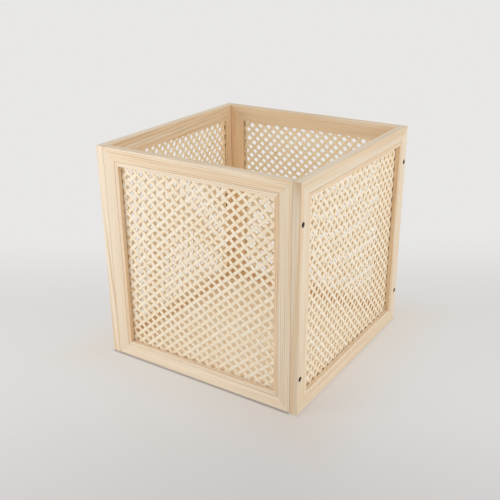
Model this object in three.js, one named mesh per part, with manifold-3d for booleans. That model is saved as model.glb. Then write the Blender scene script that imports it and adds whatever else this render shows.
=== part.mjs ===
// Open-topped storage cube: four mitred wooden frames filled with a diagonal lattice of flat strips,
// screwed together at the corners round a thin bottom board.
// Millimetres, +Z up. The origin is the middle of the base, and the front faces -Y.
import * as THREE from 'three';
import { mergeVertices } from 'three/addons/utils/BufferGeometryUtils.js';
import Module from 'manifold-3d';

const wasm = await Module();
wasm.setup();

// Outside of the cube
const width = 300;
const depth = 300;
const height = 300;

// Frame rails: the width is seen from the inside, and the lip is what is left behind the lattice
const panelThickness = 11;
const railWidth = 23;
const lipThickness = 2.9;
const railChamfer = 0.4;

// Beads that close the rebate, set a little below the face of the rails
const beadWidth = 5.5;
const beadSetback = 0.2;
const beadChamfer = 0.5;

// Lattice: flat strips in two layers, crossing on the diagonal of an oblong cell
const stripWidth = 4.5;
const stripThickness = 0.6;
const layerGap = 0.3;
const cellLong = 15;
const cellShort = 13.8;

// Bottom board, held by a groove round the inside of the bottom rails
const boardThickness = 4;
const boardLift = 3.5;
const boardTongue = 4;

// Countersunk screws through the ends of the side panels, ending in wood short of the rebate
const screwRadius = 1.5;
const screwHeadRadius = 3;
const screwTipLength = 4;
const screwTipCover = 4;
const screwFromEnd = 50;
const screwSink = 0.3;
const screwSides = 16;

// Clearances: glued joints between pieces, and a piece lying in its seat
const jointGap = 0.2;
const seatGap = 0.3;

const pine = new THREE.MeshStandardMaterial({ color: 0xe3d0b4, roughness: 0.62, metalness: 0 });
const beadPine = new THREE.MeshStandardMaterial({ color: 0xe0c8aa, roughness: 0.62, metalness: 0 });
const cane = new THREE.MeshStandardMaterial({ color: 0xf0e2c6, roughness: 0.5, metalness: 0 });
const ply = new THREE.MeshStandardMaterial({ color: 0xd9bf98, roughness: 0.7, metalness: 0 });
const blackSteel = new THREE.MeshStandardMaterial({ color: 0x2b2d31, roughness: 0.4, metalness: 0.9 });

const rebateStart = railWidth - beadWidth;
const latticeThickness = 2 * stripThickness + layerGap;
const rebateDepth = panelThickness - lipThickness;
const beadThickness = rebateDepth - latticeThickness - 2 * seatGap - beadSetback;
const latticeFace = beadSetback + beadThickness + seatGap;
const screwLength = panelThickness - screwSink + jointGap + rebateStart - screwTipCover;
const screwInset = panelThickness / 2;

// Solids for cutting
function solidOf(geometry) {
  const bare = geometry.clone();
  bare.deleteAttribute('normal');
  bare.deleteAttribute('uv');
  const merged = mergeVertices(bare, 1e-4);
  return new wasm.Manifold(new wasm.Mesh({
    numProp: 3,
    vertProperties: new Float32Array(merged.attributes.position.array),
    triVerts: new Uint32Array(merged.index.array),
  }));
}

function geometryOf(solid) {
  const mesh = solid.getMesh();
  const geometry = new THREE.BufferGeometry();
  geometry.setAttribute('position', new THREE.BufferAttribute(mesh.vertProperties, 3));
  geometry.setIndex(new THREE.BufferAttribute(mesh.triVerts, 1));
  return geometry;
}

// Cuts a placed mesh with a shape that is given in the cube's own frame
function cut(mesh, shape) {
  mesh.updateWorldMatrix(true, false);
  const toMesh = mesh.matrixWorld.clone().invert();
  const cutter = solidOf(shape.clone().applyMatrix4(toMesh));
  mesh.geometry = geometryOf(solidOf(mesh.geometry).subtract(cutter));
}

// A closed outline from points in order
function outline(points) {
  return new THREE.Shape(points.map(([across, inward]) => new THREE.Vector2(across, inward)));
}

// Section of a rail: across runs from the panel's edge to its opening, inward from the outer face
function railSection() {
  return outline([
    [0, railChamfer],
    [railChamfer, 0],
    [rebateStart, 0],
    [rebateStart, rebateDepth],
    [railWidth, rebateDepth],
    [railWidth, panelThickness - railChamfer],
    [railWidth - railChamfer, panelThickness],
    [railChamfer, panelThickness],
    [0, panelThickness - railChamfer],
  ]);
}

// Section of a bead, with its inner front edge eased
function beadSection() {
  const across = beadWidth - jointGap;
  return outline([
    [0, 0],
    [across - beadChamfer, 0],
    [across, beadChamfer],
    [across, beadThickness],
    [0, beadThickness],
  ]);
}

// A bar along X with its section standing on Z and Y, both ends mitred at 45 degrees
function mitredBar(section, length) {
  const geometry = new THREE.ExtrudeGeometry(section, { depth: length, steps: 1, bevelEnabled: false });
  const corner = geometry.attributes.position;
  const mitreGap = jointGap / Math.SQRT2;
  for (let i = 0; i < corner.count; i += 1) {
    const across = corner.getX(i);
    const inward = corner.getY(i);
    const side = corner.getZ(i) > length / 2 ? -1 : 1;
    corner.setXYZ(i, side * (length / 2 - across - mitreGap), inward, across);
  }
  return geometry;
}

// Four mitred bars round an oblong that stands on the group's origin
function mitredFrame(names, section, material, length, tall) {
  const frame = new THREE.Group();
  const places = {
    bottom: { run: length, turn: 0, x: 0, z: 0 },
    right: { run: tall, turn: -Math.PI / 2, x: length / 2, z: tall / 2 },
    top: { run: length, turn: Math.PI, x: 0, z: tall },
    left: { run: tall, turn: Math.PI / 2, x: -length / 2, z: tall / 2 },
  };
  for (const [side, place] of Object.entries(places)) {
    const bar = new THREE.Mesh(mitredBar(section, place.run), material);
    bar.name = names[side];
    bar.position.set(place.x, 0, place.z);
    bar.rotation.y = place.turn;
    frame.add(bar);
  }
  return frame;
}

function commonDivisor(a, b) {
  return b === 0 ? a : commonDivisor(b, a % b);
}

// Where a strip turns: it runs on the diagonal of the cells and turns back at each edge of the field.
// With no common divisor in the two counts, one strip passes through every cell and closes on itself.
function turnsOfStrip(columns, rows) {
  const turns = [];
  const at = { x: 0.5, z: 0 };
  const heading = { x: 1, z: 1 };
  for (let i = 0; i < 2 * (columns + rows); i += 1) {
    const roomX = heading.x > 0 ? columns - at.x : at.x;
    const roomZ = heading.z > 0 ? rows - at.z : at.z;
    const run = Math.min(roomX, roomZ);
    const turn = { from: { ...heading } };
    at.x += heading.x * run;
    at.z += heading.z * run;
    turn.onUpright = roomX < roomZ;
    if (turn.onUpright) {
      heading.x = -heading.x;
    } else {
      heading.z = -heading.z;
    }
    turns.push({ ...turn, x: at.x, z: at.z, to: { ...heading } });
  }
  return turns;
}

// The lattice as one unbroken flat strip in two layers, folded over at the edges of the field.
// Rising runs lie in the front layer and falling runs in the layer behind.
function foldedLattice(spanX, spanZ, cell) {
  const columns = Math.round(spanX / cell.x);
  let rows = Math.round(spanZ / cell.z);
  while (commonDivisor(columns, rows) > 1) {
    rows += 1;
  }
  const stepX = spanX / columns;
  const stepZ = spanZ / rows;
  const diagonal = Math.hypot(stepX, stepZ);
  const rings = [];

  // Four corners of the strip at a turn: two on the edge of the field, two further in by its thickness
  function addRing(turn, heading, leaving, flipped) {
    const rising = heading.x * heading.z > 0;
    const outer = rising ? 0 : latticeThickness;
    const inner = rising ? stripThickness : latticeThickness - stripThickness;
    const slope = (turn.onUpright ? stepX : stepZ) / diagonal;
    const centre = new THREE.Vector3(turn.x * stepX - spanX / 2, 0, turn.z * stepZ - spanZ / 2);
    const along = new THREE.Vector3(heading.x * stepX, 0, heading.z * stepZ).divideScalar(diagonal);
    const inward = along.clone().multiplyScalar((leaving ? 1 : -1) * stripThickness / slope);
    const edge = turn.onUpright ? new THREE.Vector3(0, 0, 1) : new THREE.Vector3(1, 0, 0);
    const leftward = Math.sign(along.x * edge.z - along.z * edge.x);
    edge.multiplyScalar((flipped ? -leftward : leftward) * stripWidth / 2 / slope);
    const ring = [1, -1, -1, 1].map((side) => centre.clone().addScaledVector(edge, side));
    ring[0].y = outer;
    ring[1].y = outer;
    ring[2].add(inward).y = inner;
    ring[3].add(inward).y = inner;
    rings.push(ring);
  }

  turnsOfStrip(columns, rows).forEach((turn, i) => {
    const flipped = i % 2 === 1;
    addRing(turn, turn.from, false, flipped);
    addRing(turn, turn.to, true, !flipped);
  });

  const sides = 4;
  const triangles = [];
  rings.forEach((ring, i) => {
    const here = i * sides;
    const next = ((i + 1) % rings.length) * sides;
    for (let side = 0; side < sides; side += 1) {
      const after = (side + 1) % sides;
      triangles.push(here + side, here + after, next + after);
      triangles.push(here + side, next + after, next + side);
    }
  });
  const geometry = new THREE.BufferGeometry().setFromPoints(rings.flat());
  geometry.setIndex(triangles);
  return geometry;
}

// One panel, standing on the group's origin with its outer face on Y = 0 and facing -Y.
// Its two ends are named for the side of the cube that they lie at.
function panel(side, ends, length, cell) {
  const group = new THREE.Group();
  const places = { bottom: 'bottom', right: ends[1], top: 'top', left: ends[0] };
  const railNames = {};
  const beadNames = {};
  for (const [place, name] of Object.entries(places)) {
    const upright = place === 'left' || place === 'right';
    railNames[place] = `${side}_${name}_${upright ? 'stile' : 'rail'}`;
    beadNames[place] = `${side}_${name}_bead`;
  }
  group.add(mitredFrame(railNames, railSection(), pine, length, height));

  const beadInset = rebateStart + jointGap;
  const beadLength = length - 2 * beadInset;
  const beadHeight = height - 2 * beadInset;
  const beads = mitredFrame(beadNames, beadSection(), beadPine, beadLength, beadHeight);
  beads.position.set(0, beadSetback, beadInset);
  group.add(beads);

  const fieldInset = rebateStart + seatGap;
  const field = foldedLattice(length - 2 * fieldInset, height - 2 * fieldInset, cell);
  const lattice = new THREE.Mesh(field, cane);
  lattice.name = `${side}_lattice`;
  lattice.position.set(0, latticeFace, height / 2);
  group.add(lattice);
  return group;
}

// Section of a countersunk screw turned about Y, head up, grown by a clearance for its hole
function screwGeometry(clearance) {
  const head = screwHeadRadius + clearance;
  const shank = screwRadius + clearance;
  const top = clearance > 0 ? screwSink + clearance : 0;
  const profile = [
    [0, top],
    [head, top],
    [head, 0],
    [shank, shank - head],
    [shank, screwTipLength - screwLength],
    [0, -screwLength - clearance],
  ];
  const points = profile.map(([radius, along]) => new THREE.Vector2(radius, along)).reverse();
  return new THREE.LatheGeometry(points, screwSides);
}

const cube = new THREE.Group();

// Side panels run the full depth, and the front and back panels fit between them
const innerWidth = width - 2 * panelThickness;
const innerDepth = depth - 2 * panelThickness;
const endLength = innerWidth - 2 * jointGap;
const endCell = { x: cellLong, z: cellShort };
const sideCell = { x: cellShort, z: cellLong };
const panels = [
  { side: 'front', ends: ['left', 'right'], length: endLength, cell: endCell, x: 0, y: -depth / 2, turn: 0 },
  { side: 'back', ends: ['right', 'left'], length: endLength, cell: endCell, x: 0, y: depth / 2, turn: 180 },
  { side: 'left', ends: ['back', 'front'], length: depth, cell: sideCell, x: -width / 2, y: 0, turn: -90 },
  { side: 'right', ends: ['front', 'back'], length: depth, cell: sideCell, x: width / 2, y: 0, turn: 90 },
];
for (const { side, ends, length, cell, x, y, turn } of panels) {
  const standing = panel(side, ends, length, cell);
  standing.position.set(x, y, 0);
  standing.rotation.z = THREE.MathUtils.degToRad(turn);
  cube.add(standing);
}

// Bottom board, and the same board grown by the seat's clearance as the groove
function boardGeometry(clearance) {
  const grow = 2 * clearance;
  const board = new THREE.BoxGeometry(
    innerWidth + 2 * boardTongue + grow,
    innerDepth + 2 * boardTongue + grow,
    boardThickness + grow,
  );
  return board.translate(0, 0, boardLift + boardThickness / 2);
}
const board = new THREE.Mesh(boardGeometry(0), ply);
board.name = 'bottom_board';
cube.add(board);
const groove = boardGeometry(seatGap);

// Screws: two at each end of both side panels, heads just below the face.
// Each makes its hole in the stile that it passes through and in the one that it ends in.
for (const [side, outward] of [['left', -1], ['right', 1]]) {
  for (const [end, along] of [['front', -1], ['back', 1]]) {
    for (const [level, up] of [['lower', screwFromEnd], ['upper', height - screwFromEnd]]) {
      const screw = new THREE.Mesh(screwGeometry(0), blackSteel);
      screw.name = `${side}_${end}_${level}_screw`;
      screw.position.set(outward * (width / 2 - screwSink), along * (depth / 2 - screwInset), up);
      screw.rotation.z = -outward * Math.PI / 2;
      cube.add(screw);
      screw.updateWorldMatrix(true, false);
      const hole = screwGeometry(seatGap).applyMatrix4(screw.matrixWorld);
      cut(cube.getObjectByName(`${side}_${end}_stile`), hole);
      cut(cube.getObjectByName(`${end}_${side}_stile`), hole);
    }
  }
}

// The groove runs round the foot of every panel
for (const { side, ends } of panels) {
  for (const foot of ['bottom_rail', `${ends[0]}_stile`, `${ends[1]}_stile`]) {
    cut(cube.getObjectByName(`${side}_${foot}`), groove);
  }
}

export default cube;
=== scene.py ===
"""Looks of an open-topped storage cube: mitred frames, beads, woven cane panels, a ply bottom and screws."""

import math
import random

import bmesh
import bpy
from mathutils import Matrix, Vector

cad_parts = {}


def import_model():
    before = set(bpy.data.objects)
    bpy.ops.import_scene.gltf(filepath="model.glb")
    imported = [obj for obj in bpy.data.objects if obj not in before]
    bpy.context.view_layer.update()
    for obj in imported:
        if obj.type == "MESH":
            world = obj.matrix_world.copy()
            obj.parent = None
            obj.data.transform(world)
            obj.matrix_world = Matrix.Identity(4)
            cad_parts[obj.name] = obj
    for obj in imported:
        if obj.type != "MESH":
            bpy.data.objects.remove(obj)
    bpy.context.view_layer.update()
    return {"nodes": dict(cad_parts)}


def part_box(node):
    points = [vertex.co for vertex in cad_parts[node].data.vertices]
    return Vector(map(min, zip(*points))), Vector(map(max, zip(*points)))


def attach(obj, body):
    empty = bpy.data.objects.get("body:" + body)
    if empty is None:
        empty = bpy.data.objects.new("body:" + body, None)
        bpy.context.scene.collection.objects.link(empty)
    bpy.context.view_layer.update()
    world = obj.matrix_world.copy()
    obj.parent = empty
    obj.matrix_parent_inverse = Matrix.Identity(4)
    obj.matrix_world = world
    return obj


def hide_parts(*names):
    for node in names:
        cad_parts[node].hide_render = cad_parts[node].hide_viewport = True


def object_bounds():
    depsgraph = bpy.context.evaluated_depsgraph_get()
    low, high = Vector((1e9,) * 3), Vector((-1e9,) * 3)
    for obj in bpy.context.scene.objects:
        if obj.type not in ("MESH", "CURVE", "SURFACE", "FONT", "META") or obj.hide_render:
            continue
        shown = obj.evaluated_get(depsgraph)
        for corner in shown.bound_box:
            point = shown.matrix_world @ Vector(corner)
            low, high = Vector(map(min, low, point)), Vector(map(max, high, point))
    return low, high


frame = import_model()
BODY = "root"
MM = 0.001

# Sizes read from the frame
low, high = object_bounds()
WIDTH, DEPTH, HEIGHT = high - low


def size_of(node):
    """Length along X, Y and Z of a node at rest."""
    lowest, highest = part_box(node)
    return highest - lowest


RAIL = size_of("front_bottom_rail")
BEAD = size_of("front_bottom_bead")
SCREW = size_of("right_back_upper_screw")
RAIL_WIDTH = RAIL.z
PANEL_THICKNESS = RAIL.y
BEAD_THICKNESS = BEAD.y
BEAD_WIDTH = BEAD.z
BEAD_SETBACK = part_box("front_bottom_bead")[0].y - low.y
BEAD_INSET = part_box("front_bottom_bead")[0].z
LATTICE_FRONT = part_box("front_lattice")[0].y - low.y
LATTICE_THICKNESS = size_of("front_lattice").y
BOARD_LOW, BOARD_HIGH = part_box("bottom_board")
SCREW_LENGTH = SCREW.x
SCREW_HEAD_RADIUS = SCREW.z / 2

# Sizes of the finish, finer than the frame's solids
JOINT_GAP = 0.2 * MM
MITRE_GAP = 0.06 * MM
LIP_THICKNESS = 2.9 * MM
ARRIS_RADIUS = 0.5 * MM
REBATE_ARRIS_RADIUS = 0.2 * MM
FOOT_ARRIS_RADIUS = 1.2 * MM
BEAD_ARRIS_RADIUS = 0.35 * MM
BEAD_SHRINK = 0.12 * MM
BOARD_ARRIS_RADIUS = 0.3 * MM
BOARD_GAP = 0.12 * MM
ARRIS_SEGMENTS = 3
WELD = 0.001 * MM

# Sizes of the screws and their holes
SCREW_RADIUS = 1.5 * MM
SCREW_TIP = 4 * MM
SCREW_RIM = 0.3 * MM
SCREW_GAP = 0.6 * MM
SCREW_SIDES = 40
SCREW_SMOOTH_ANGLE = 30
DRILL_OVERRUN = 10
RECESS_LENGTH = 3.4 * MM
RECESS_WIDTH = 0.8 * MM
RECESS_DEPTH = 1.1 * MM

# Sizes of the strips, and how far each strays from its true place, line and width
STRIP_WIDTH = 4.4 * MM
STRIP_THICKNESS = 0.6 * MM
STRIP_CLEARANCE = 0.1 * MM
STRIP_END_INSET = 1.8 * MM
STRIP_SHIFT = 0.15 * MM
STRIP_BOW = 0.15 * MM
STRIP_SKEW = 0.002
STRIP_WIDTH_CHANGE = 0.03
STRIP_SMOOTH_ANGLE = 40
STEPS_PER_CROSSING = 4

# Length of cane in metres, along which each strip is cut at a chance place
CANE_LENGTH = 30

# Section of a strip: shares of its half width and of its thickness
STRIP_SECTION = ((-1, 0), (-0.9, -0.42), (0, -0.5), (0.9, -0.42), (1, 0), (0.9, 0.42), (0, 0.5), (-0.9, 0.42))

# Panels: where each stands, how far it is turned, and the names of its two ends
PANELS = {
    "front": {"ends": ("left", "right"), "place": (0, low.y, 0), "turn": 0},
    "back": {"ends": ("right", "left"), "place": (0, high.y, 0), "turn": 180},
    "left": {"ends": ("back", "front"), "place": (low.x, 0, 0), "turn": -90},
    "right": {"ends": ("front", "back"), "place": (high.x, 0, 0), "turn": 90},
}

# Weave of each panel seen from outside: slope in degrees, pitch in mm and start as a share of the pitch,
# first for the strips that rise to the right and then for those that fall
WEAVES = {
    "front": ((41.4, 9.7, 0.46), (-43.2, 10.8, 0.28)),
    "back": ((38.1, 9.7, 0.9), (-46.6, 10.6, 0.35)),
    "left": ((49, 10.5, 0.88), (-47.5, 9.6, 0.89)),
    "right": ((46.2, 10.5, 0), (-47.9, 9.8, 0.34)),
}


def panel_matrix(side):
    """From a panel's own frame, outer face on Y = 0 and facing -Y, to the cube's."""
    panel = PANELS[side]
    return Matrix.Translation(panel["place"]) @ Matrix.Rotation(math.radians(panel["turn"]), 4, "Z")


def is_end_panel(side):
    return side in ("front", "back")


def panel_length(side):
    """End panels fit between the side panels, which run the full depth."""
    return WIDTH - 2 * (PANEL_THICKNESS + JOINT_GAP) if is_end_panel(side) else DEPTH


# Shader writing
class Wire:
    """A socket of a shader that takes Python's operators."""

    def __init__(self, shader, socket):
        self.shader = shader
        self.socket = socket

    def math(self, operation, *others):
        return self.shader.math(operation, self, *others)

    def __add__(self, other):
        return self.math("ADD", other)

    def __sub__(self, other):
        return self.math("SUBTRACT", other)

    def __rsub__(self, other):
        return self.shader.math("SUBTRACT", other, self)

    def __mul__(self, other):
        return self.math("MULTIPLY", other)

    def __truediv__(self, other):
        return self.math("DIVIDE", other)

    def __rtruediv__(self, other):
        return self.shader.math("DIVIDE", other, self)

    __radd__ = __add__
    __rmul__ = __mul__


class Shader:
    """The node tree of a material or a world, with one method that makes any node."""

    def __init__(self, owner):
        owner.use_nodes = True
        self.owner = owner
        self.tree = owner.node_tree
        self.tree.nodes.clear()

    def node(self, kind, settings=None, inputs=None, output=0):
        made = self.tree.nodes.new(kind)
        for name, value in (settings or {}).items():
            setattr(made, name, value)
        for name, value in (inputs or {}).items():
            if isinstance(value, Wire):
                self.tree.links.new(value.socket, made.inputs[name])
            else:
                made.inputs[name].default_value = value
        return Wire(self, made.outputs[output]) if made.outputs else None

    def math(self, operation, *values):
        return self.node("ShaderNodeMath", {"operation": operation}, dict(enumerate(values)))

    def measure(self, operation, *vectors):
        """A number taken from one or two vectors."""
        return self.node("ShaderNodeVectorMath", {"operation": operation}, dict(enumerate(vectors)), "Value")

    def attribute(self, name, output="Vector"):
        return self.node("ShaderNodeAttribute", {"attribute_name": name}, output=output)

    def split(self, vector):
        apart = self.node("ShaderNodeSeparateXYZ", inputs={"Vector": vector})
        return [Wire(self, socket) for socket in apart.socket.node.outputs]

    def vector(self, x, y, z):
        return self.node("ShaderNodeCombineXYZ", inputs={"X": x, "Y": y, "Z": z})

    def noise(self, vector, scale=1, detail=2, roughness=0.5):
        inputs = {"Vector": vector, "Scale": scale, "Detail": detail, "Roughness": roughness}
        return self.node("ShaderNodeTexNoise", inputs=inputs)

    def ease(self, value, start, end):
        """0 below start and 1 above end, with a smooth rise between."""
        settings = {"interpolation_type": "SMOOTHSTEP"}
        return self.node("ShaderNodeMapRange", settings, {"Value": value, "From Min": start, "From Max": end})

    def mix(self, factor, first, second, blend="MIX"):
        settings = {"data_type": "RGBA", "blend_type": blend}
        return self.node("ShaderNodeMix", settings, {0: factor, 6: first, 7: second}, output=2)

    def tinted(self, colour, tint):
        return self.mix(1, colour, tint, "MULTIPLY")

    def shaded(self, colour, shade):
        return self.tinted(colour, self.vector(shade, shade, shade))

    def bump(self, height, strength, distance):
        inputs = {"Height": height, "Strength": strength, "Distance": distance}
        return self.node("ShaderNodeBump", inputs=inputs)

    def finish(self, surface, output="ShaderNodeOutputMaterial"):
        self.node(output, inputs={"Surface": surface})
        return self.owner

    def principled(self, inputs):
        return self.finish(self.node("ShaderNodeBsdfPrincipled", inputs=inputs))


def srgb(red, green, blue):
    """Linear colour of a screen colour given from 0 to 255."""
    def linear(value):
        share = value / 255
        return share / 12.92 if share <= 0.04045 else ((share + 0.055) / 1.055) ** 2.4
    return (linear(red), linear(green), linear(blue), 1)


# Timber: tones of each kind, and how often its patterns change in a metre along the grain and across it
TIMBERS = {
    "frame_wood": {
        "pale": srgb(240, 222, 196), "warm": srgb(235, 207, 170), "amber": srgb(232, 192, 140),
        "ring": srgb(206, 168, 124),
    },
    "bead_wood": {
        "pale": srgb(240, 221, 194), "warm": srgb(230, 200, 162), "amber": srgb(226, 186, 136),
        "ring": srgb(204, 164, 122),
    },
    "board_ply": {
        "pale": srgb(252, 237, 210), "warm": srgb(248, 227, 193), "amber": srgb(242, 214, 172),
        "ring": srgb(230, 202, 162),
    },
}
RING_SPACING = 2.6 * MM
RING_WANDER = 3 * MM
WANDER_ALONG, WANDER_ACROSS = 6, 60
DRIFT_ALONG, DRIFT_ACROSS = 3, 110
RING_STRENGTH_ALONG, RING_STRENGTH_ACROSS = 8, 260
LATE_WOOD_START, LATE_WOOD_FULL, LATE_WOOD_END = 0.4, 0.9, 0.92
RING_FAINT, RING_STRONG = 0.25, 0.8
RING_DEPTH = 0.8
FIBRE_STRETCH = 0.02
FIBRES = 2600
STREAKS = 700
GRAIN_SHADE, STREAK_SHADE, FIBRE_SHADE = 0.11, 0.12, 0.08
FIBRE_RELIEF, RING_RELIEF = 0.6, 0.4
TIMBER_BUMP = 0.25
TIMBER_RELIEF = 0.15 * MM


def planed_timber(name):
    """Pale softwood: growth rings seen along the grain, a slow drift of tone and fine fibres.
    The attribute timber holds each point's place in its log: X along the grain, the pith on Y = Z = 0.
    The attribute look holds each face's warmth, strength of grain and level; the level is painted light and
    shade, and so is the amber of the inner faces."""
    tones = TIMBERS[name]
    shader = Shader(bpy.data.materials.new(name))
    along, across, deep = shader.split(shader.attribute("timber"))
    drift = shader.noise(shader.vector(along * DRIFT_ALONG, across * DRIFT_ACROSS, deep * DRIFT_ACROSS))
    wander = shader.noise(shader.vector(along * WANDER_ALONG, across * WANDER_ACROSS, deep * WANDER_ACROSS))
    radius = (across * across + deep * deep).math("SQRT") + (wander - 0.5) * RING_WANDER
    phase = (radius / RING_SPACING).math("FRACT")
    late = shader.ease(phase, LATE_WOOD_START, LATE_WOOD_FULL) * (1 - shader.ease(phase, LATE_WOOD_END, 1))
    strength_place = shader.vector(along * RING_STRENGTH_ALONG, radius * RING_STRENGTH_ACROSS, 0)
    strength = shader.ease(shader.noise(strength_place, detail=1), RING_FAINT, RING_STRONG)
    fibre_place = shader.vector(along * FIBRE_STRETCH, across, deep)
    fibre = shader.noise(fibre_place, FIBRES, detail=3, roughness=0.6)
    streak = shader.noise(fibre_place, STREAKS)
    warm_share, figure, painted_light_level = shader.split(shader.attribute("look"))
    warmth = warm_share + (drift - 0.5) * figure * 2
    tone = shader.mix(shader.ease(warmth, 0, 1), tones["pale"], tones["warm"])
    tone = shader.mix(shader.ease(warmth, 1, 2), tone, tones["amber"])
    ringed = shader.mix(late * strength * figure * RING_DEPTH, tone, tones["ring"])
    # painted light and shade: the look's level lifts or darkens the whole face
    shade = painted_light_level * (1 - figure * (GRAIN_SHADE - streak * STREAK_SHADE - fibre * FIBRE_SHADE))
    return shader.principled({
        "Base Color": shader.shaded(ringed, shade),
        "Roughness": 0.5 + fibre * 0.2,
        "Specular IOR Level": 0.4,
        "Normal": shader.bump(fibre * FIBRE_RELIEF + late * RING_RELIEF, TIMBER_BUMP, TIMBER_RELIEF),
    })


# Cane: pale and warm tones of its skin and its pith, and the browner tone of its cut edges, which also paints
# a warm shade over a wide band at the edges of the pith
SKIN_PALE, SKIN_WARM = srgb(249, 235, 211), srgb(245, 227, 197)
PITH_PALE, PITH_WARM = srgb(255, 241, 211), srgb(252, 234, 197)
CUT_EDGE_AND_SHADE = srgb(230, 188, 124)
SKIN_EDGE_START, SKIN_EDGE_DEPTH = 0.8, 0.5
PITH_EDGE_AND_SHADE_START, PITH_EDGE_AND_SHADE_DEPTH = 0.5, 0.8
CANE_DRIFT, CANE_DRIFT_SPREAD = 12, 50
CANE_FIBRE_ALONG, CANE_FIBRE_ACROSS, CANE_FIBRE_SPREAD = 40, 9, 90
DRIFT_SHARE, CHANCE_SHARE = 0.6, 0.4
CANE_BUMP = 0.2
CANE_RELIEF = 0.1 * MM


def split_cane(name):
    """Shaved cane strips: pale skin outside, creamy pith inside, fibres along them and browner cut edges,
    with a painted warm shade spreading from the edges across the outer half of the pith's width.
    The attribute cane holds the distance along the strip, the place across it from -1 to 1 and a chance
    value, which gives each strip its own tone. The attribute pith is 1 on the inner face."""
    shader = Shader(bpy.data.materials.new(name))
    along, across, chance = shader.split(shader.attribute("cane"))
    drift = shader.noise(shader.vector(along * CANE_DRIFT, chance * CANE_DRIFT_SPREAD, 0))
    fibre_place = (along * CANE_FIBRE_ALONG, across * CANE_FIBRE_ACROSS, chance * CANE_FIBRE_SPREAD)
    fibre = shader.noise(shader.vector(*fibre_place), detail=3, roughness=0.6)
    warmth = shader.ease(drift * DRIFT_SHARE + chance * CHANCE_SHARE, 0.3, 0.7)
    skin = shader.mix(warmth, SKIN_PALE, SKIN_WARM)
    pith = shader.mix(warmth, PITH_PALE, PITH_WARM)
    inside = shader.ease(shader.attribute("pith", "Fac"), 0.3, 0.7)
    reach = across.math("ABSOLUTE")
    skin_edge = shader.ease(reach, SKIN_EDGE_START, 1) * SKIN_EDGE_DEPTH
    # painted shade: the pith darkens to the cut-edge tone from halfway out to its edges
    pith_edge_and_shade = shader.ease(reach, PITH_EDGE_AND_SHADE_START, 1) * PITH_EDGE_AND_SHADE_DEPTH
    edge = skin_edge * (1 - inside) + pith_edge_and_shade * inside
    edged = shader.mix(edge, shader.mix(inside, skin, pith), CUT_EDGE_AND_SHADE)
    return shader.principled({
        "Base Color": shader.shaded(edged, 0.94 + fibre * 0.1),
        "Roughness": 0.38 + fibre * 0.2,
        "Specular IOR Level": 0.45,
        "Normal": shader.bump(fibre, CANE_BUMP, CANE_RELIEF),
    })


STEEL_DARK, STEEL_PALE = srgb(34, 36, 40), srgb(58, 61, 68)
STEEL_MOTTLES = 900


def black_steel(name):
    """Blackened screws with a slight mottle."""
    shader = Shader(bpy.data.materials.new(name))
    place = shader.node("ShaderNodeTexCoord", output="Object")
    mottle = shader.noise(place, STEEL_MOTTLES, detail=3)
    return shader.principled({
        "Base Color": shader.mix(mottle, STEEL_DARK, STEEL_PALE),
        "Metallic": 0.4,
        "Roughness": 0.45 + mottle * 0.2,
        "Specular IOR Level": 0.3,
    })


# Looks of the bars' faces: warmth from 0 for pale through 1 for warm to 2 for amber, strength of the grain
# and level, which is painted light and shade that lifts or darkens each face. A bar that isn't named here is
# plain, with a warmth of its own.
FACE_LOOKS_WITH_PAINTED_LIGHT = {
    "front_left_stile": (0.35, 0.45, 0.965),
    "front_right_stile": (0.45, 1, 0.955),
    "front_top_rail": (0.4, 1.7, 1.01),
    "front_bottom_rail": (0, 1, 1.05),
    "front_top_bead": (0, 1, 1.015),
    "front_right_bead": (0.65, 1.8, 1.03),
    "front_bottom_bead": (0, 1, 1),
    "right_front_stile": (0.3, 1.3, 0.965),
    "right_back_stile": (0.3, 0.8, 0.965),
    "right_top_rail": (0.4, 0.9, 0.92),
    "right_bottom_rail": (0.5, 1, 0.97),
    "right_back_bead": (0.8, 1, 0.98),
    "right_bottom_bead": (0, 1, 1),
    "back_top_rail": (0.4, 1.7, 1),
    "left_top_rail": (0.4, 1.3, 1),
}
PLAIN_WARMTH = (0.3, 0.6)

# Looks of the narrow outer edges, whose levels paint a shade that darkens the rims and edges
EDGE_PAINTED_SHADE_LOOKS = {
    "front_top_rail": (0.4, 1, 0.95),
    "back_top_rail": (0.55, 0.8, 0.97),
    "right_front_stile": (0.65, 2.6, 0.89),
}
RIM_PAINTED_SHADE_LOOK = (0.25, 0.6, 0.98)

# Looks of the inner sides, of the faces round the openings, and of the slots that hold the lattices, as
# painted light
# and shade: amber warmth paints a warm shade on them, less on the upward faces of the bottom bars, levels
# above 1 lift faces that lie in shade, and a low level paints the backs of the beads dark
INNER_PAINTED_LIGHT_LOOKS = {"rail": (0.6, 1.2, 1.03), "stile": (0.9, 1.2, 1.12), "bead": (1.6, 1, 0.5)}
LOW_INNER_PAINTED_SHADE_LOOK = (1.5, 1, 1)
OPENING_PAINTED_LIGHT_LOOK = (1.3, 1, 1.03)
LOW_OPENING_PAINTED_LIGHT_LOOK = (0.45, 1, 1.01)
SLOT_PAINTED_LIGHT_LOOKS = {"front": (1, 0.5, 1.1), "right": (0.6, 0.5, 1.13)}
BOARD_LOOK = (0.5, 1, 1)

# Where each bar lay in its log: distance and direction of the pith, skew of the grain and length of the log,
# with the angles in degrees and the log in metres
PITH_NEAR, PITH_FAR = 50 * MM, 130 * MM
PITH_SIDES = (90, 270)
PITH_SPREAD = 25
GRAIN_SKEW = 0.7
LOG_LENGTH = 60

# How squarely a face looks along an axis to count as facing that way
FACING = 0.9


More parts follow.
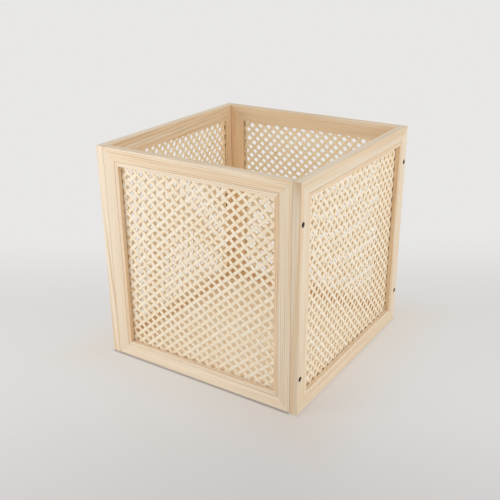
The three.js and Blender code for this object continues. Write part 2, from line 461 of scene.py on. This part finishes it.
def bar_looks(node, side, place, part, dice):
    """Looks of a bar's face, its outer edge, its inner side and the faces round its opening, with painted
    light and shade in their levels and warmth.
    """
    face = FACE_LOOKS_WITH_PAINTED_LIGHT.get(node, (dice.uniform(*PLAIN_WARMTH), 1, 1))
    lowest = place == "bottom"
    looks = {
        "face": face,
        "edge": EDGE_PAINTED_SHADE_LOOKS.get(node, RIM_PAINTED_SHADE_LOOK if part == "rail" else face),
        "inside": LOW_INNER_PAINTED_SHADE_LOOK if lowest else INNER_PAINTED_LIGHT_LOOKS[part],
        "opening": LOW_OPENING_PAINTED_LIGHT_LOOK if lowest else OPENING_PAINTED_LIGHT_LOOK,
    }
    # painted light: the slots that hold the lattices are lifted against the shade they lie in
    if side in SLOT_PAINTED_LIGHT_LOOKS:
        looks["inside" if part == "bead" else "opening"] = SLOT_PAINTED_LIGHT_LOOKS[side]
    return looks


def face_kind(normal, centre):
    """Which face of a bar this is, in the bar's own frame."""
    if normal.z < -FACING:
        return "edge"
    if normal.y > FACING:
        return "inside"
    if normal.z > FACING or normal.y < -FACING and centre.y > MM:
        return "opening"
    return "face"


def write_timber(piece, to_place, looks, dice):
    """Gives every vertex its place in a log of its own, with the pith well away and the grain slightly askew,
    and every face its look, whose level and warmth paint light and shade by the kind of face."""
    pith = dice.uniform(PITH_NEAR, PITH_FAR)
    around = math.radians(dice.choice(PITH_SIDES) + dice.gauss(0, PITH_SPREAD))
    askew = Matrix.Rotation(math.radians(dice.gauss(0, GRAIN_SKEW)), 4, "Y")
    askew = askew @ Matrix.Rotation(math.radians(dice.gauss(0, GRAIN_SKEW)), 4, "Z")
    shift = Vector((dice.uniform(0, LOG_LENGTH), pith * math.cos(around), pith * math.sin(around)))
    to_bar = to_place.inverted()
    to_log = Matrix.Translation(shift) @ askew @ to_bar
    places = piece.data.attributes.new("timber", "FLOAT_VECTOR", "POINT")
    for vertex, value in zip(piece.data.vertices, places.data):
        value.vector = to_log @ vertex.co
    faces = piece.data.attributes.new("look", "FLOAT_VECTOR", "FACE")
    for polygon, value in zip(piece.data.polygons, faces.data):
        kind = face_kind(to_bar.to_3x3() @ polygon.normal, to_bar @ polygon.center)
        # painted light and shade: each kind of face takes its own level and warmth
        value.vector = looks.get(kind, looks["face"])


# Mesh helpers
def plain_object(bm, name):
    """Closes a bmesh into an object of the scene."""
    mesh = bpy.data.meshes.new(name)
    bm.to_mesh(mesh)
    bm.free()
    made = bpy.data.objects.new(name, mesh)
    bpy.context.scene.collection.objects.link(made)
    return made


def mesh_piece(bm, name, material):
    """Closes a bmesh into a piece that rides on the cube."""
    piece = plain_object(bm, name)
    piece.data.materials.append(material)
    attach(piece, BODY)
    return piece


def smooth(piece, angle):
    """Shades a piece smooth, apart from edges sharper than an angle in degrees."""
    piece.data.shade_smooth()
    piece.data.set_sharp_from_angle(angle=math.radians(angle))


def carve(piece, cutter):
    """Takes a cutter's shape out of a piece."""
    knife = piece.modifiers.new("cut", "BOOLEAN")
    knife.operation = "DIFFERENCE"
    knife.solver = "EXACT"
    knife.object = cutter
    whole = piece.data
    cut = piece.evaluated_get(bpy.context.evaluated_depsgraph_get())
    piece.data = bpy.data.meshes.new_from_object(cut)
    piece.data.name = whole.name
    piece.modifiers.clear()
    bpy.data.meshes.remove(whole)


# Frames and beads
def bar(section, length):
    """A bar along X from a section of (across, inward, arris radius) points, with both ends mitred."""
    bm = bmesh.new()
    corners = [bm.verts.new((-length / 2, inward, across)) for across, inward, _ in section]
    bm.faces.new(corners)
    for corner, (_, _, radius) in zip(corners, section):
        if radius:
            bmesh.ops.bevel(bm, geom=[corner], offset=radius, offset_type="OFFSET", segments=ARRIS_SEGMENTS,
                            profile=0.5, affect="VERTICES", material=-1)
    grown = bmesh.ops.extrude_face_region(bm, geom=bm.faces[:])
    far_end = [item for item in grown["geom"] if isinstance(item, bmesh.types.BMVert)]
    bmesh.ops.translate(bm, verts=far_end, vec=(length, 0, 0))
    for end in (-1, 1):
        cut = bmesh.ops.bisect_plane(bm, geom=bm.verts[:] + bm.edges[:] + bm.faces[:],
                                     plane_co=(end * (length / 2 - MITRE_GAP), 0, 0),
                                     plane_no=(end, 0, 1), clear_outer=True)
        rim = [item for item in cut["geom_cut"] if isinstance(item, bmesh.types.BMEdge)]
        bmesh.ops.edgeloop_fill(bm, edges=rim)
    bmesh.ops.recalc_face_normals(bm, faces=bm.faces[:])
    return bm


def rail_section(grooved):
    """Points of a rail's section, with a groove for the bottom board on request."""
    rebate = BEAD_INSET - JOINT_GAP
    lip = PANEL_THICKNESS - LIP_THICKNESS
    back = PANEL_THICKNESS
    foot = FOOT_ARRIS_RADIUS if grooved else ARRIS_RADIUS
    points = [(0, 0, foot), (rebate, 0, REBATE_ARRIS_RADIUS), (rebate, lip, 0), (RAIL_WIDTH, lip, 0),
              (RAIL_WIDTH, back, ARRIS_RADIUS)]
    if grooved:
        upper = BOARD_HIGH.z + BOARD_GAP
        lower = BOARD_LOW.z - BOARD_GAP
        root = BOARD_LOW.y - low.y - BOARD_GAP
        points += [(upper, back, 0), (upper, root, 0), (lower, root, 0), (lower, back, 0)]
    return points + [(0, back, ARRIS_RADIUS)]


def bead_section(shrink):
    """Points of a bead's section, which leaves a line between the bead and the rail, darker as it shrinks."""
    return [(shrink, 0, REBATE_ARRIS_RADIUS), (BEAD_WIDTH, 0, BEAD_ARRIS_RADIUS),
            (BEAD_WIDTH, BEAD_THICKNESS, 0), (shrink, BEAD_THICKNESS, 0)]


def bar_places(length, tall):
    """Length, place and turn of each of the four bars of an oblong that stands on its origin."""
    return {
        "bottom": (length, (0, 0, 0), 0),
        "right": (tall, (length / 2, 0, tall / 2), -90),
        "top": (length, (0, 0, tall), 180),
        "left": (tall, (-length / 2, 0, tall / 2), 90),
    }


def mitred_frame(side, kind, sections, oblong, to_cube, material, cutters, dice):
    """Four bars of one panel, each standing for the node of its name. The kind is frame or bead, and the
    oblong is the panel's or the rebate's length and height."""
    names = dict(zip(("left", "right"), PANELS[side]["ends"]))
    for place, (run, at, turn) in bar_places(*oblong).items():
        frame_part = "stile" if place in names else "rail"
        part = "bead" if kind == "bead" else frame_part
        node = f"{side}_{names.get(place, place)}_{part}"
        to_place = to_cube @ Matrix.Translation(at) @ Matrix.Rotation(math.radians(turn), 4, "Y")
        bm = bar(sections.get(place, sections["any"]), run)
        bm.transform(to_place)
        piece = mesh_piece(bm, f"{node}_wood", material)
        for cutter in cutters.get(node, ()):
            carve(piece, cutter)
        write_timber(piece, to_place, bar_looks(node, side, place, part, dice), dice)
        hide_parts(node)


# Screws
def turned(profile):
    """A closed body turned about X from (along, radius) points that start and end on the axis."""
    bm = bmesh.new()
    line = [bm.verts.new((along, 0, radius)) for along, radius in profile]
    edges = [bm.edges.new(pair) for pair in zip(line, line[1:])]
    bmesh.ops.spin(bm, geom=line + edges, cent=(0, 0, 0), axis=(1, 0, 0), angle=2 * math.pi,
                   steps=SCREW_SIDES, use_merge=True)
    bmesh.ops.remove_doubles(bm, verts=bm.verts[:], dist=WELD)
    bmesh.ops.recalc_face_normals(bm, faces=bm.faces[:])
    return bm


def screw_profile(gap):
    """Countersunk head, shank and point, each standing off by the gap, with the head open to the outside."""
    head = SCREW_HEAD_RADIUS + gap
    shank = SCREW_RADIUS + gap
    cone = SCREW_RIM + head - shank
    outside = -DRILL_OVERRUN * gap
    return [(outside, 0), (outside, head), (SCREW_RIM, head), (cone, shank),
            (SCREW_LENGTH - SCREW_TIP, shank), (SCREW_LENGTH + gap, 0)]


def screw_place(node):
    """From a screw's own frame, with its head on X = 0 and its point along X, to its place in the cube."""
    lowest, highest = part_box(node)
    middle = (lowest + highest) / 2
    if node.startswith("right"):
        return Matrix.Translation((highest.x, middle.y, middle.z)) @ Matrix.Rotation(math.pi, 4, "Z")
    return Matrix.Translation((lowest.x, middle.y, middle.z))


def screw(node, material, dice):
    """A screw with a cross recess, turned to a chance angle."""
    to_cube = screw_place(node) @ Matrix.Rotation(dice.uniform(0, math.pi / 2), 4, "X")
    bm = turned(screw_profile(0))
    bm.transform(to_cube)
    piece = mesh_piece(bm, f"{node}_steel", material)
    for arms in ((RECESS_LENGTH, RECESS_WIDTH), (RECESS_WIDTH, RECESS_LENGTH)):
        slot = bmesh.new()
        bmesh.ops.create_cube(slot, size=1)
        bmesh.ops.scale(slot, verts=slot.verts[:], vec=(2 * RECESS_DEPTH, *arms))
        slot.transform(to_cube)
        cutter = plain_object(slot, "recess")
        carve(piece, cutter)
        bpy.data.objects.remove(cutter)
    smooth(piece, SCREW_SMOOTH_ANGLE)
    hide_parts(node)


def screw_nodes():
    return [node for node in frame["nodes"] if node.endswith("_screw")]


def screw_cutters():
    """For each stile, the drills of the screws that pass through it or end in it."""
    drills = {}
    for node in screw_nodes():
        side, end, *_ = node.split("_")
        bm = turned(screw_profile(SCREW_GAP))
        bm.transform(screw_place(node))
        drill = plain_object(bm, f"{node}_drill")
        for stile in (f"{side}_{end}_stile", f"{end}_{side}_stile"):
            drills.setdefault(stile, []).append(drill)
    return drills


# Bottom board
def board(material, dice):
    """Thin ply with eased edges, resting in the grooves of the bottom rails."""
    bm = bmesh.new()
    bmesh.ops.create_cube(bm, size=1)
    bmesh.ops.scale(bm, verts=bm.verts[:], vec=BOARD_HIGH - BOARD_LOW)
    bmesh.ops.bevel(bm, geom=bm.edges[:], offset=BOARD_ARRIS_RADIUS, offset_type="OFFSET",
                    segments=ARRIS_SEGMENTS, profile=0.5, affect="EDGES", material=-1)
    bmesh.ops.translate(bm, verts=bm.verts[:], vec=(BOARD_LOW + BOARD_HIGH) / 2)
    piece = mesh_piece(bm, "bottom_board_ply", material)
    write_timber(piece, Matrix.Identity(4), {"face": BOARD_LOOK}, dice)
    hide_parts("bottom_board")


# Lattice
class Family:
    """Parallel strips of one slope: the directions along and across them, their pitch and their start.
    The face is 1 if the first strip crosses outside the other family's first, and -1 if inside it."""

    def __init__(self, slope, pitch, start, face):
        self.along = Vector((math.cos(math.radians(slope)), 0, math.sin(math.radians(slope))))
        self.across = Vector((-self.along.z, 0, self.along.x))
        self.pitch = pitch * MM
        self.start = start
        self.face = face

    def count(self, point):
        """How many pitches a point lies from the family's first strip."""
        return point.dot(self.across) / self.pitch - self.start

    def runs(self, half):
        """Number, middle and reach of every strip that crosses an oblong of the given half sizes."""
        widest = abs(self.across.x) * half.x + abs(self.across.z) * half.z
        last = math.ceil(widest / self.pitch) + 1
        for number in range(-last, last + 1):
            middle = self.across * ((number + self.start) * self.pitch)
            spans = []
            for axis in (0, 2):
                ends = [(edge * half[axis] - middle[axis]) / self.along[axis] for edge in (-1, 1)]
                spans.append(sorted(ends))
            begin = max(span[0] for span in spans)
            finish = min(span[1] for span in spans)
            if finish - begin > 2 * STRIP_WIDTH:
                yield number, middle, begin, finish


def cane_mesh():
    """An empty bmesh whose vertices hold the attributes that the cane's material reads."""
    bm = bmesh.new()
    bm.verts.layers.float_vector.new("cane")
    bm.verts.layers.float.new("pith")
    return bm


def strip(family, other, run, dice):
    """One strip as a closed tube of a flat section, passing over and under the strips of the other family."""
    number, middle, begin, finish = run
    bm = cane_mesh()
    cane = bm.verts.layers.float_vector["cane"]
    pith = bm.verts.layers.float["pith"]
    rise = (STRIP_THICKNESS + STRIP_CLEARANCE) / 2
    shift = dice.gauss(0, STRIP_SHIFT)
    bow = dice.gauss(0, STRIP_BOW)
    skew = dice.gauss(0, STRIP_SKEW)
    half_width = STRIP_WIDTH / 2 * dice.uniform(1 - STRIP_WIDTH_CHANGE, 1 + STRIP_WIDTH_CHANGE)
    chance = dice.random()
    offset = dice.uniform(0, CANE_LENGTH)
    steps = max(2, round((finish - begin) / other.pitch * STEPS_PER_CROSSING))
    sides = len(STRIP_SECTION)
    grid = bmesh.ops.create_grid(bm, x_segments=steps, y_segments=sides, size=1)
    for vertex in grid["verts"]:
        share = (vertex.co.x + 1) / 2
        corner = round((vertex.co.y + 1) / 2 * sides) % sides
        across, thick = STRIP_SECTION[corner]
        reach = begin + share * (finish - begin)
        line = middle + family.along * reach
        height = family.face * rise * math.cos(math.pi * (other.count(line) + number))
        lateral = across * half_width + shift + bow * math.sin(share * math.pi) + skew * reach
        vertex.co = line + family.across * lateral + Vector((0, thick * STRIP_THICKNESS - height, 0))
        vertex[cane] = (reach + offset, across, chance)
        vertex[pith] = 1 if thick > 0 else 0
    bmesh.ops.remove_doubles(bm, verts=grid["verts"], dist=WELD)
    ends = [edge for edge in bm.edges if edge.is_boundary]
    bmesh.ops.holes_fill(bm, edges=ends)
    bmesh.ops.recalc_face_normals(bm, faces=bm.faces[:])
    return bm


def lattice(side, to_cube, material, dice):
    """The woven panel, standing for the lattice's node."""
    node = f"{side}_lattice"
    size = size_of(node)
    inset = 2 * STRIP_END_INSET
    span = Vector(((size.x if is_end_panel(side) else size.y) - inset, 0, size.z - inset))
    rising, falling = (Family(*weave, face) for weave, face in zip(WEAVES[side], (1, -1)))
    whole = cane_mesh()
    mesh = bpy.data.meshes.new("strip")
    for family, other in ((rising, falling), (falling, rising)):
        for run in family.runs(span / 2):
            bm = strip(family, other, run, dice)
            bm.to_mesh(mesh)
            bm.free()
            whole.from_mesh(mesh)
    bpy.data.meshes.remove(mesh)
    middle = Vector((0, LATTICE_FRONT + LATTICE_THICKNESS / 2, HEIGHT / 2))
    whole.transform(to_cube @ Matrix.Translation(middle))
    piece = mesh_piece(whole, f"{side}_lattice_weave", material)
    smooth(piece, STRIP_SMOOTH_ANGLE)
    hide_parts(node)


# Stage: tones of the floor and the backdrop, and where on the floor one passes into the other, in metres
BACKDROP = srgb(232, 231, 229)
FLOOR = srgb(213, 208, 204)
BLACK = (0, 0, 0, 1)
WHITE = (1, 1, 1, 1)
FLOOR_RADIUS = 14
FLOOR_SIDES = 96
FLOOR_DROP = 0.1 * MM
RIGHT_GAIN, LEFT_GAIN = 0.4, 0.2
FORE_START, FORE_END, FORE_SHARE = -0.45, 0, 0.62
BEHIND_START, BEHIND_END, BEHIND_SHARE = 0.05, 0.4, 0.38
ROUND_START, ROUND_END = 0.45, 0.95

# Level directions along the photograph's line of sight and square to it, fixed in the cube's frame
AWAY = (-0.546, 0.837, 0)
ASIDE = (0.837, 0.546, 0)

# Painted light and shade on the floor round the cube: a painted warm bounce light from the wood, and a
# painted contact shadow where it stands, which is fainter beside the side panels
BOUNCE = (1, 0.945, 0.87, 1)
BOUNCE_REACH = 0.1
BOUNCE_SHARE, BOUNCE_BESIDE = 0.65, 0.2
CONTACT_SHADOW = (0.12, 0.06, 0.05, 1)
CONTACT_SHADOW_START, CONTACT_SHADOW_END = 1 * MM, 5 * MM
CONTACT_SHADOW_SHARE, CONTACT_SHADOW_BESIDE = 0.5, 0.42
CORNER_SHIFT, CORNER_START, CORNER_END = 5 * MM, 8 * MM, 4 * MM


def pale_floor(name):
    """Matt floor that glows in the backdrop's tone behind the cube and far from it, with a painted bounce
    light and a painted contact shadow beside it.
    """
    shader = Shader(bpy.data.materials.new(name))
    place = shader.node("ShaderNodeTexCoord", output="Object")
    right, back, _ = shader.split(place)
    distance = shader.measure("LENGTH", place)
    behind = shader.measure("DOT_PRODUCT", place, AWAY)
    sideways = shader.measure("DOT_PRODUCT", place, ASIDE)
    fore = behind + (sideways * RIGHT_GAIN).math("MAXIMUM", sideways * -LEFT_GAIN)
    near = shader.ease(fore, FORE_START, FORE_END) * FORE_SHARE
    near = near + shader.ease(behind, BEHIND_START, BEHIND_END) * BEHIND_SHARE
    far = near.math("MAXIMUM", shader.ease(distance, ROUND_START, ROUND_END))
    clear = (right.math("ABSOLUTE") - WIDTH / 2).math("MAXIMUM", back.math("ABSOLUTE") - DEPTH / 2)
    corner = (right + CORNER_SHIFT).math("ABSOLUTE")
    beside = shader.ease(corner, WIDTH / 2 - CORNER_START, WIDTH / 2 - CORNER_END)
    # painted bounce light: a warm tint on the floor near the cube
    bounce = (1 - shader.ease(clear, 0, BOUNCE_REACH)) * (BOUNCE_SHARE + beside * BOUNCE_BESIDE)
    # painted contact shadow: a dark line on the floor where the cube stands
    contact_shadow = (1 - shader.ease(clear, CONTACT_SHADOW_START, CONTACT_SHADOW_END)) * (CONTACT_SHADOW_SHARE - beside * CONTACT_SHADOW_BESIDE)
    tint = shader.mix(contact_shadow, shader.mix(bounce, WHITE, BOUNCE), CONTACT_SHADOW)
    return shader.principled({
        "Base Color": shader.tinted(tint, shader.mix(far, FLOOR, BLACK)),
        "Roughness": 1,
        "Specular IOR Level": 0,
        "Emission Color": shader.tinted(tint, shader.mix(far, BLACK, BACKDROP)),
        "Emission Strength": 1,
    })


def stage():
    """A wide round floor, just below the cube."""
    bm = bmesh.new()
    bmesh.ops.create_circle(bm, cap_ends=True, segments=FLOOR_SIDES, radius=FLOOR_RADIUS)
    bmesh.ops.translate(bm, verts=bm.verts[:], vec=(0, 0, -FLOOR_DROP))
    floor = plain_object(bm, "floor")
    floor.data.materials.append(pale_floor("pale_floor"))


# Light
ROOM_LIGHT = srgb(250, 252, 255)
ROOM_STRENGTH = 0.52
LAMP_AIM = Vector((0, 0, HEIGHT / 2))
LAMPS = {
    "left_softbox": {"place": (-0.6, -0.9, 0.42), "size": 0.7, "power": 4.95, "colour": (0.97, 1, 1.04)},
    "right_softbox": {"place": (1.2, -0.05, 0.36), "size": 0.9, "power": 6, "colour": (0.955, 1, 1.045)},
    "top_softbox": {"place": (0, 0.2, 1.6), "size": 1.2, "power": 4.4, "colour": (0.94, 0.99, 1.09)},
}


def world():
    """Even light from all round, which the camera and reflections see as the pale backdrop."""
    shader = Shader(bpy.data.worlds.new("studio"))
    camera_ray = shader.node("ShaderNodeLightPath", output="Is Camera Ray")
    glossy_ray = shader.node("ShaderNodeLightPath", output="Is Glossy Ray")
    light = shader.node("ShaderNodeBackground", inputs={"Color": ROOM_LIGHT, "Strength": ROOM_STRENGTH})
    seen = shader.node("ShaderNodeBackground", inputs={"Color": BACKDROP})
    either = camera_ray.math("MAXIMUM", glossy_ray)
    mixed = shader.node("ShaderNodeMixShader", inputs={0: either, 1: light, 2: seen})
    bpy.context.scene.world = shader.finish(mixed, "ShaderNodeOutputWorld")


def softbox(name, place, size, power, colour):
    """A square area lamp turned towards the middle of the cube."""
    lamp = bpy.data.lights.new(name, "AREA")
    lamp.shape = "SQUARE"
    lamp.size = size
    lamp.energy = power
    lamp.color = colour
    box = bpy.data.objects.new(name, lamp)
    bpy.context.scene.collection.objects.link(box)
    box.visible_camera = False
    box.location = place
    box.rotation_euler = (LAMP_AIM - Vector(place)).to_track_quat("-Z", "Y").to_euler()


# Camera: millimetres for the lens, metres for the place and degrees for the angles
LENS = 53.7
SENSOR_WIDTH = 36
CAMERA_PLACE = (0.5205, -0.8208, 0.5472)
CAMERA_TURN = 33.11
CAMERA_TILT = 23.02
CAMERA_ROLL = -0.5


def camera():
    """The photograph's viewpoint, looking down on the front right corner."""
    data = bpy.data.cameras.new("camera")
    data.lens = LENS
    data.sensor_width = SENSOR_WIDTH
    eye = bpy.data.objects.new("camera", data)
    bpy.context.scene.collection.objects.link(eye)
    turn = Matrix.Rotation(math.radians(CAMERA_TURN), 4, "Z")
    tilt = Matrix.Rotation(math.radians(90 - CAMERA_TILT), 4, "X")
    roll = Matrix.Rotation(math.radians(CAMERA_ROLL), 4, "Z")
    eye.matrix_world = Matrix.Translation(CAMERA_PLACE) @ turn @ tilt @ roll
    bpy.context.scene.camera = eye


def build():
    """All the pieces of the cube, panel by panel."""
    dice = random.Random(7)
    frame_wood = planed_timber("frame_wood")
    bead_wood = planed_timber("bead_wood")
    board_ply = planed_timber("board_ply")
    cane = split_cane("split_cane")
    steel = black_steel("black_steel")
    cutters = screw_cutters()
    rails = {"bottom": rail_section(True), "any": rail_section(False)}
    beads = {"bottom": bead_section(0), "any": bead_section(BEAD_SHRINK)}
    for side in PANELS:
        to_cube = panel_matrix(side)
        to_rebate = to_cube @ Matrix.Translation((0, BEAD_SETBACK, BEAD_INSET))
        outside = (panel_length(side), HEIGHT)
        rebate = [length - 2 * BEAD_INSET for length in outside]
        mitred_frame(side, "frame", rails, outside, to_cube, frame_wood, cutters, dice)
        mitred_frame(side, "bead", beads, rebate, to_rebate, bead_wood, {}, dice)
        lattice(side, to_cube, cane, dice)
    for drill in {drill for drills in cutters.values() for drill in drills}:
        bpy.data.objects.remove(drill)
    board(board_ply, dice)
    for node in screw_nodes():
        screw(node, steel, dice)


bpy.context.scene.view_settings.view_transform = "Standard"
camera()
stage()
world()
for name, lamp in LAMPS.items():
    softbox(name, **lamp)
build()
